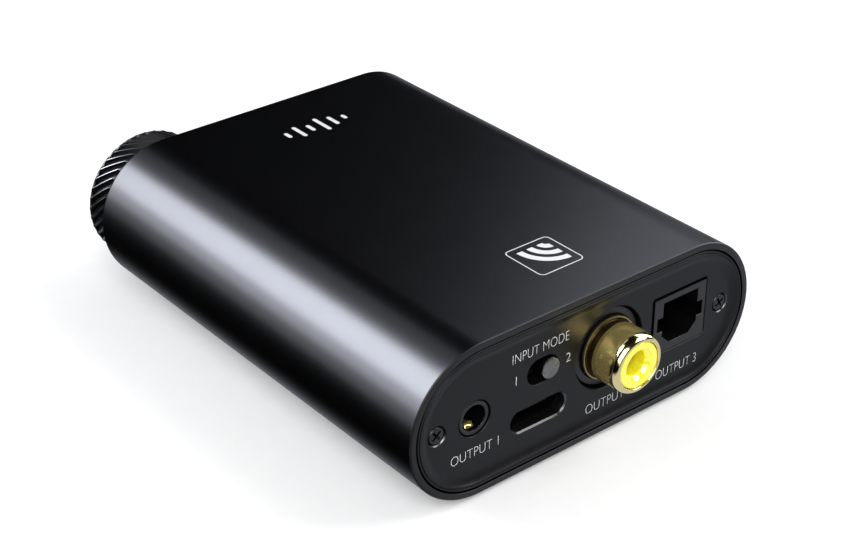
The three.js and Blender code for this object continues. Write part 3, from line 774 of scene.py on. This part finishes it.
def build_coax():
    body = solid(block((-5.1, 5.1), (-12, -BEHIND_PANEL), (ON_BOARD - COAX[1], 5.9)))
    soften(body, 0.2)
    boss = [(0, -3.3), (5.5, -3.3), (5.5, -0.72), (5.46, -0.63), (5.38, -0.6), (0, -0.6)]
    join(body, lathe(boss, 96))
    cut(body, rod(3.9, -13, 1, sides=96))
    place(body, "coax_socket_body", PLASTIC, REAR, COAX,
          replaces=["coax_housing"])
    place(solid(tube(3.85, 4.63, -0.55, -0.3, 0.04, 128)), "coax_socket_washer", BLACK_AND_PAINTED_SHADE,
          REAR, COAX, replaces=["coax_washer"])

    bore, barrel, lip, lip_length, edge = 3.3, 4.16, 3.5, 1.2, 0.12
    start = COAX_PROUD - lip_length
    angles = quarter_turn(14)
    front = [(lip + (barrel - lip) * math.cos(t), start + lip_length * math.sin(t))
             for t in angles]
    inner_edge = [(bore + edge - edge * math.sin(t), COAX_PROUD - edge + edge * math.cos(t))
                  for t in angles[::3]]
    profile = [
        (bore, -9), (3.6, -9), (3.6, -0.27), (4.38, -0.27), (4.44, -0.24), (4.46, -0.18),
        (4.46, -0.02), (4.43, 0.05), (4.36, 0.09), (4.28, 0.1), (4.2, 0.08), (4.13, 0.02),
        (4.04, -0.06), (3.94, -0.06), (3.88, 0.0), (3.87, 0.1),
        (3.87, 0.8), (3.9, 0.9), (4.05, 1.03), (4.13, 1.12), (barrel, 1.3), (barrel, 2.8),
    ] + front + inner_edge + [(bore, COAX_PROUD - 0.3)]
    barrel_piece = place(solid(lathe(profile, 160, closed=True)), "coax_socket_barrel", GOLD,
                         REAR, COAX, replaces=["coax_barrel"])
    neck_end = 1.2
    second_finish(barrel_piece, GOLD_SATIN, lambda face: neck_end < face.y < start + 0.05)
    # The flange and the neck's groove get darker gold: painted shade.
    second_finish(barrel_piece, GOLD_FLANGE_SHADE, lambda face: face.y < neck_end)
    second_finish(barrel_piece, GOLD_NECK_SHADE,
                  lambda face: face.y < neck_end and face.xz.length < 4.2)

    rim = COAX_PROUD - 0.08
    insulator = [
        (0, -8.7), (3.24, -8.7), (3.24, rim - 0.26), (3.21, rim - 0.13), (3.12, rim - 0.04),
        (2.99, rim), (2.42, rim), (2.32, rim - 0.03), (2.2, rim - 0.12), (1.78, rim - 0.6),
        (1.69, rim - 0.74), (1.65, rim - 0.92), (1.65, -7.4), (0, -7.4),
    ]
    place(solid(lathe(insulator, 128)), "coax_socket_insulator", YELLOW, REAR,
          COAX, replaces=["coax_insulator"])
    contact = solid(tube(1.05, 1.35, -7.1, 1.5, 0.08, 64))
    slit, wide, deep = (-0.12, 0.12), (-2, 2), (-3, 2)
    cut(contact, block(slit, deep, wide), block(wide, deep, slit))
    place(contact, "coax_socket_centre_contact", GOLD, REAR, COAX,
          replaces=["coax_centre_contact"])


# -------- Optical socket


def optical_outline():
    """A rectangle with two lower corners cut off and a key slot at each side."""
    left, right, low, high = OPTICAL_MOUTH
    corner, out, slot_low, slot_high = 1.3, 1, -0.35, 1.75
    return [
        (left + corner, low), (right - corner, low), (right, low + corner), (right, slot_low),
        (right + out, slot_low), (right + out, slot_high), (right, slot_high), (right, high),
        (left, high), (left, slot_high), (left - out, slot_high), (left - out, slot_low),
        (left, slot_low), (left, low + corner),
    ]


def build_optical():
    left, right, low, high = OPTICAL_CUTOUT
    x = (OPTICAL_MOUTH[0] + OPTICAL_MOUTH[1]) / 2
    z = (OPTICAL_MOUTH[2] + OPTICAL_MOUTH[3]) / 2
    front, edge = -0.05, 0.06
    body = solid(block((left - 0.1, right - 0.2), (-12.5, -BEHIND_PANEL), (ON_BOARD, high + 0.1)))
    join(body, block((left + 0.1, right - 0.5), (-BEHIND_PANEL - 1, front),
                     (low + 0.08, high - 0.48)))
    soften(body, 0.07)
    outline = optical_outline()
    wider = grown(outline, edge)
    mouth = loft([ring_at(outline, -9), ring_at(outline, front - edge), ring_at(wider, front),
                  ring_at(wider, 1)])
    cut(body, mouth, block((x - 2.2, x + 2.2), (-13, -8), (z - 2.2, z + 2.2)))
    place(body, "optical_socket_housing", PLASTIC, REAR,
          replaces=["optical_housing"])
    # The inside of the mouth gets painted shade.
    second_finish(body, BLACK_AND_PAINTED_SHADE, lambda face: face.y < front - 0.1)
    emitter = soften(solid(block((-1.9, 1.9), (-12.3, -10.4), (-1.9, 1.9))), 0.2)
    dome = [(1.1 * math.cos(t), -10.3 + 0.9 * math.sin(t)) for t in quarter_turn(8)[:-1]]
    join(emitter, lathe([(0, -11), (1.1, -11)] + dome + [(0, -9.4)], 48))
    place(emitter, "optical_socket_emitter", LENS, REAR, (x, z),
          replaces=["optical_emitter"])


# -------- Volume control


def build_knob():
    """The knob. flat is the half width of a ridge's crest, and valley is where its flank ends,
    both from its middle and as shares of the ridges' spacing."""
    ridges, depth, flat, valley = 40, 0.6, 0.05, 0.45
    twist = math.radians(5.1)
    back, shoulder_back, ridge_end, shoulder_front, front = 1.7, 2.84, 6.2, 6.44, 7.44
    back_radius, front_radius = 8.95, 8.8

    def ridge_ring(y, top, height=1.0):
        """One ring of the knob's side. Each ridge is cut off at the radius top."""
        crest = flat + (valley - flat) * min(1, (KNOB_RADIUS - top) / depth)
        phases = [-crest, -crest / 2, 0, crest / 2, crest]
        phases += [crest + (valley - crest) * k / 4 for k in (1, 2, 3, 4)]
        phases += [0.5] + [1 - valley + (valley - crest) * k / 4 for k in (0, 1, 2, 3)]
        ring = []
        for ridge in range(ridges):
            for phase in phases:
                away = min(abs(phase), abs(1 - phase))
                share = min(1, max(0, (away - flat) / (valley - flat)))
                radius = min(top, KNOB_RADIUS - depth * share * height)
                angle = 2 * math.pi * (ridge + phase) / ridges + y * twist
                ring.append((radius * math.cos(angle), y, radius * math.sin(angle)))
        return ring

    def slope(y0, radius0, y1, radius1, count, height=1.0):
        """Steps from one place to another, without the first."""
        shares = [i / count for i in range(1, count + 1)]
        return [(y0 + (y1 - y0) * t, radius0 + (radius1 - radius0) * t, height) for t in shares]

    steps = [(back, back_radius - 0.08), (back + 0.06, back_radius)]
    steps += slope(back + 0.06, back_radius, shoulder_back, KNOB_RADIUS, 8)
    steps += slope(shoulder_back, KNOB_RADIUS, ridge_end, KNOB_RADIUS, 11)
    steps += [(ridge_end + 0.06, KNOB_RADIUS, 0.3), (shoulder_front, KNOB_RADIUS, 0.3)]
    steps += slope(shoulder_front, KNOB_RADIUS, front - 0.08, front_radius, 8, 0.0)
    steps += [(front - 0.02, front_radius - 0.05, 0.0), (front, front_radius - 0.13, 0.0)]
    knob = solid(loft([ridge_ring(*step) for step in steps]))
    well = lathe([(5, 1), (7.9, 1), (7.9, 4.2), (5, 4.2)], 96, closed=True)
    dish = [(0, 7.12), (2, 7.13), (4, 7.16), (6, 7.21), (7.6, 7.27), (8.0, 7.3), (8.12, 7.36),
            (8.2, 7.44), (8.3, 8), (0, 8)]
    # At its stop, the index points to seven o'clock as seen from the front.
    index_turn, index_at = -150, (0, 6.2)
    slot_outline = shifted(rounded(0.7, 2.2, 0.34, 8), index_at)
    slot = loft([ring_at(slot_outline, y) for y in (6.9, 7.3, 8)])
    cut(knob, rod(7.9, 0, 2.3, sides=96), well, rod(3.3, 0, 6.3, sides=48), lathe(dish, 128),
        turned(slot, index_turn))
    place(knob, "volume_knob_body", KNOB_BLACK, FRONT, VOLUME,
          body="volume_knob", replaces=["volume_knob"], smooth=28)

    def from_crest(face):
        """How far round a face is from the nearest crest, as a share of the ridges' spacing."""
        turns = (math.atan2(face.z, face.x) - face.y * twist) / (2 * math.pi)
        return abs((turns * ridges + 0.5) % 1 - 0.5)

    # The valleys between the ridges get painted shade.
    second_finish(knob, KNOB_VALLEY_SHADE,
                  lambda face: 2 < face.y < ridge_end and from_crest(face) > 0.3)
    # The ridges' crests get a lighter metal: partly wear, partly painted highlight.
    second_finish(knob, WEAR_AND_HIGHLIGHT,
                  lambda face: 1.9 < face.y < ridge_end and from_crest(face) < flat)
    inlay = stepped(lambda grow: rounded(0.64 + 2 * grow, 2.14 + 2 * grow, 0.31 + grow, 8),
                    rounded_bar(0.05, 6.88, 7.2), index_at)
    place(solid(turned(inlay, index_turn)), "volume_knob_index", INK, FRONT,
          VOLUME, body="volume_knob")


def build_volume_control():
    case = solid(block((-4.1, 4.1), (-11, -3.7), (ON_BOARD, 4.4)))
    soften(case, 0.25, 3)
    pitch, root, crest = 0.5, 3.38, 3.5
    bush = [(0, -4), (crest, -4)]
    for i in range(9):
        y = -2.6 + i * pitch
        bush += [(crest, y), (root, y + pitch / 2)]
    bush += [(crest, 1.8), (crest - 0.1, 1.9), (0, 1.9)]
    join(case, lathe(bush, 96))
    cut(case, rod(3.6, -9.6, -4.6), rod(2.8, -5, 3))
    place(case, "volume_pot_case", NICKEL, FRONT, VOLUME, replaces=["volume_pot"])
    nut = solid(lathe([(0, 0.1), (5.7, 0.1), (5.7, 1.6), (0, 1.6)], 6))
    soften(nut, 0.18, 3)
    cut(nut, lathe([(0, -1), (4, -1), (4, 0.1), (3.8, 0.3), (3.8, 1.4), (4, 1.6), (4, 3), (0, 3)],
                   96))
    place(nut, "volume_pot_nut", NICKEL, FRONT, VOLUME, replaces=["volume_nut"])
    shaft = solid(lathe([(0, -9.2), (3.1, -9.2), (3.2, -9.1), (3.2, -8.1), (3.1, -8), (2.5, -8),
                         (2.5, 2.2), (2.9, 2.2), (3, 2.3), (3, 5.8), (2.8, 6), (0, 6)], 96))
    place(shaft, "volume_pot_shaft", NICKEL, FRONT, VOLUME, body="volume_knob",
          replaces=["volume_shaft"])
    ring = solid(tube(*LIGHT_RING, -0.8, -0.05, 0.1, 160))
    place(ring, "light_ring_diffuser", DIFFUSER, FRONT, VOLUME,
          replaces=["light_ring"])


# -------- Printed marks
# They are plain shapes, and generic words and numerals.

INK_HEIGHT, INK_SUNK = 0.012, -0.004
STROKE_THINNING = -0.025
LETTERING = (      # name, words, width, height, panel and the place of its middle
    ("line_output_label", "OUTPUT 1", 7.6, 1.35, REAR, (18.35, -4.9)),
    ("coax_output_label", "OUTPUT 2", 8.2, 1.4, REAR, (-4.35, -6.95)),
    ("optical_output_label", "OUTPUT 3", 7.6, 1.4, REAR, (-16.7, -6.95)),
    ("mode_switch_label", "INPUT MODE", 9.3, 1.35, REAR, (7.85, 5.9)),
    ("mode_numeral_one", "1", None, 1.3, REAR, (11.85, 2.6)),
    ("mode_numeral_two", "2", None, 1.3, REAR, (3.2, 2.6)),
    ("gain_switch_label", "GAIN", 3.6, 1.2, FRONT, (0.6, 6.25)),
    ("bass_switch_label", "BASS", 3.6, 1.2, FRONT, (0.6, -6.15)),
    ("headphone_size_label", "3.5", 2.4, 1.2, FRONT, (18.9, -5.7)),
    ("balanced_size_label", "2.5", 2.4, 1.2, FRONT, (11, -5.7)),
)


def on_panel(frame_of, at):
    """A drawing frame on a panel: X runs to the reader's right and Y up."""
    axes = Matrix(((-1, 0, 0), (0, 0, 1), (0, 1, 0))).to_4x4()
    return frame_of @ Matrix.Translation(Vector((at[0], 0, at[1])) * MM) @ axes


def on_top(at):
    """A drawing frame on top of the shell, read from the front."""
    return HOUSING @ Matrix.Translation(Vector((at[0], at[1], SIDE_RADIUS)) * MM)


def drawn(outline, z):
    """An (x, y) outline in millimetres as a ring of points in a drawing frame, in metres."""
    return [(x * MM, y * MM, z * MM) for x, y in outline]


def printed(name, outlines, drawing):
    """Flat printed shapes."""
    parts = [loft([drawn(outline, INK_SUNK), drawn(outline, INK_HEIGHT)]) for outline in outlines]
    settle_print(solid(*parts), name, drawing)


def settle_print(piece, name, drawing):
    """Puts a print in its drawing frame and says what it is."""
    piece.name = name
    piece.data.materials.clear()
    piece.data.materials.append(INK)
    piece.matrix_world = drawing
    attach(piece, "housing")


def lettering(name, words, width, height, drawing):
    """Words or numerals of a given height. A width of None keeps the letters' shape."""
    data = bpy.data.curves.new(name, "FONT")
    data.body = words
    data.size = 1
    data.offset = STROKE_THINNING
    data.resolution_u = 6
    text = bpy.data.objects.new(name, data)
    scene.collection.objects.link(text)
    graph = bpy.context.evaluated_depsgraph_get()
    mesh = bpy.data.meshes.new_from_object(text.evaluated_get(graph))
    bpy.data.objects.remove(text)
    xs = [v.co.x for v in mesh.vertices]
    ys = [v.co.y for v in mesh.vertices]
    scale_y = height * MM / (max(ys) - min(ys))
    scale_x = width * MM / (max(xs) - min(xs)) if width else scale_y
    centre = Vector(((max(xs) + min(xs)) / 2, (max(ys) + min(ys)) / 2, 0))
    mesh.transform(Matrix.Translation(-centre))
    mesh.transform(Matrix.Diagonal((scale_x, scale_y, 1, 1)))
    shape = bmesh.new()
    shape.from_mesh(mesh)
    bmesh.ops.remove_doubles(shape, verts=shape.verts, dist=1e-7)
    shape.to_mesh(mesh)
    shape.free()
    # The solid is made point by point, since an extrusion's order changes from run to run.
    low = [tuple(point.co) for point in mesh.vertices]
    high = [(x, y, INK_HEIGHT * MM) for x, y, z in low]
    bottom = [tuple(face.vertices) for face in mesh.polygons]
    top = [[len(low) + i for i in face] for face in bottom]
    pairs = [pair for face in bottom for pair in zip(face, face[1:] + face[:1])]
    uses = Counter(frozenset(pair) for pair in pairs)
    sides = [(a, b, len(low) + b, len(low) + a) for a, b in pairs if uses[frozenset((a, b))] == 1]
    piece = solid((low + high, bottom + top + sides))
    piece.data.shade_smooth()
    settle_print(piece, name, drawing)


def build_marks():
    bar_width, pitch = 0.62, 2.0
    heights = (1.3, 2.9, 4.4, 2.1, 3.6, 1.7)
    # Just under half the width, so that no two points fall together.
    corner = bar_width / 2 * 0.999
    bars = [shifted(rounded(bar_width, height, corner), ((i - 2.5) * pitch, 0))
            for i, height in enumerate(heights)]
    printed("top_wave_mark", bars, on_top((-1.5, -24.6)))

    badge_at = (-1.5, 24.52)
    size, corner, line = 7.45, 0.8, 0.15
    outside = rounded(size, size, corner)
    inside = rounded(size - 2 * line, size - 2 * line, corner - line)
    outline = loft([drawn(outside, INK_SUNK), drawn(outside, INK_HEIGHT),
                    drawn(inside, INK_HEIGHT), drawn(inside, INK_SUNK)], closed=True)
    settle_print(solid(outline), "top_badge_outline", on_top(badge_at))
    origin, thickness = (-2.6, -2.6), 0.95
    arcs = [arc(origin, radius, 0, 90, 20) + arc(origin, radius - thickness, 90, 0, 20)
            for radius in (1.6, 3.3, 5.0)]
    printed("top_badge_arcs", arcs, on_top(badge_at))

    for name, words, width, height, panel, at in LETTERING:
        lettering(name, words, width, height, on_panel(panel, at))


# -------- Studio


def softbox(name, at, facing, size, radiance, colour=(1, 1, 1), diffuse=True, glossy=True):
    """A rectangular area light, by the brightness of its face. Its second size lies along Y."""
    data = bpy.data.lights.new(name, "AREA")
    data.shape = "RECTANGLE"
    data.size, data.size_y = size
    data.energy = radiance * math.pi * size[0] * size[1]
    data.color = colour
    light = bpy.data.objects.new(name, data)
    scene.collection.objects.link(light)
    toward = (Vector(facing) - Vector(at)).normalized()
    along = Vector((0, 1, 0)) - toward * toward.y
    along.normalize()
    across = along.cross(-toward)
    turn = Matrix((across, along, -toward)).transposed().to_4x4()
    light.matrix_world = Matrix.Translation(at) @ turn
    light.visible_diffuse = diffuse
    light.visible_glossy = glossy


def sheet(name, x, y):
    """A level sheet between two values on X and on Y, in metres."""
    mesh = bpy.data.meshes.new(name)
    corners = [(x[0], y[0], 0), (x[1], y[0], 0), (x[1], y[1], 0), (x[0], y[1], 0)]
    mesh.from_pydata(corners, [], [(0, 1, 2, 3)])
    made = bpy.data.objects.new(name, mesh)
    scene.collection.objects.link(made)
    return made


def build_studio():
    scene.view_settings.view_transform = "Standard"
    world = bpy.data.worlds.new("studio")
    scene.world = world
    world.use_nodes = True
    background = world.node_tree.nodes["Background"]
    background.inputs["Color"].default_value = (1, 1, 1, 1)
    background.inputs["Strength"].default_value = 0.46
    world.cycles_visibility.glossy = False

    floor = sheet("floor", (-2, 2), (-2, 2))
    floor.data.materials.append(
        finish("floor_paper", (0.79, 0.79, 0.79), 0.9, mottle=0.01, grain=2.0, relief=0.0,
               Emission_Color=(1, 1, 1, 1), Emission_Strength=0.095))
    floor.visible_glossy = False

    # What polished parts see of the floor: pale under the object and on the side away from the
    # strip lights, and dark on their side.
    card = sheet("floor_card", (-1, 0.05), (-1, 1))
    card.location.z = -0.0003
    glow = bpy.data.materials.new("card_glow")
    glow.use_nodes = True
    tree = glow.node_tree
    tree.nodes.remove(tree.nodes["Principled BSDF"])
    strength = blend_along(tree, "X", (0.0155, 0.0345), (0.67, 0))
    emission = node(tree, "Emission", {"Color": (0.88, 0.91, 1.0, 1), "Strength": strength})
    tree.links.new(emission.outputs["Emission"], tree.nodes["Material Output"].inputs["Surface"])
    card.data.materials.append(glow)
    glow.cycles.emission_sampling = "NONE"
    card.visible_camera = False
    card.visible_diffuse = False
    card.visible_shadow = False
    card.visible_transmission = False

    cool = (0.87, 0.91, 1.0)
    middle = (0, 0, 0.012)
    # Three strips, one over another, make the soft-edged highlight along the side.
    distance = 0.6
    for name, angle, half_angle, radiance in (
            ("side_strip_core", 44, 18, 13.5), ("side_strip_middle", 37, 29, 7),
            ("side_strip_edge", 31, 42, 2.2)):
        across, up = math.cos(math.radians(angle)), math.sin(math.radians(angle))
        width = 2 * distance * math.tan(math.radians(half_angle))
        softbox(name, (distance * across, -0.6, distance * up + 0.012), (0, -0.6, 0.012),
                (width, 0.95), radiance, cool, diffuse=False)
    softbox("overhead", (0.14, -1.05, 0.9), (0.14, -1.05, 0), (0.58, 1.2), 1.2, cool,
            diffuse=False)
    softbox("side_fill", (-0.85, -0.26, 0.45), middle, (0.85, 0.8), 5.2, cool, diffuse=False)
    softbox("key", (-0.72, 0.44, 0.7), middle, (0.7, 0.7), 5.0)
    softbox("front_fill", (0.6, -0.62, 0.5), middle, (0.5, 0.5), 6.3, glossy=False)
    softbox("rear_box", (0.42, 0.62, 0.62), middle, (0.5, 0.5), 7.0)
    softbox("rear_box_wide", (0.62, 0.5, 0.56), middle, (0.8, 0.7), 2.6, diffuse=False)
    softbox("room_behind_camera", (0.75, 0.95, 0.62), middle, (1.3, 1.3), 0.75, diffuse=False)


# -------- Putting it together

add_camera()
build_studio()
build_shell()
build_rear_panel()
build_front_panel()
build_screw("rear_screw_head_left", REAR, -SCREW_X, "rear_screw_left", 28)
build_screw("rear_screw_head_right", REAR, SCREW_X, "rear_screw_right", 40)
build_screw("front_screw_head", FRONT, SCREW_X, "front_screw", 12)
build_feet()
build_jack("line_out", REAR, LINE_OUT, bore=1.8, nose=2.35, half=3)
build_usb()
build_switch("mode", REAR, MODE_SWITCH, rest=-1)
build_coax()
build_optical()
build_jack("headphone", FRONT, HEADPHONE, bore=1.8, nose=2.85, half=3.2)
build_jack_ring("headphone", HEADPHONE, inner=3.1, spigot=3.5, flange=4.1)
build_jack("balanced", FRONT, BALANCED, bore=1.3, nose=2.3, half=2.7)
build_jack_ring("balanced", BALANCED, inner=2.5, spigot=2.85, flange=3.4)
build_switch("gain", FRONT, GAIN_SWITCH, rest=1)
build_switch("bass", FRONT, BASS_SWITCH, rest=1)
build_volume_control()
build_knob()
build_marks()

CARRIED = {
    BOARD: ["ring_light_board", "main_board"],
    CHIP: ["usb_receiver_chip", "converter_chip", "regulator_chip", "headphone_amp_chip_1",
           "headphone_amp_chip_2"],
    PLASTIC: ["mute_relay"],
    CAN: ["clock_oscillator_1", "clock_oscillator_2"],
    FERRITE: ["power_inductor_1", "power_inductor_2"],
    SLEEVE: [f"filter_capacitor_{i}" for i in (1, 2, 3, 4)],
}
for look, names in CARRIED.items():
    for name in names:
        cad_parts[name].material_slots[0].material = look
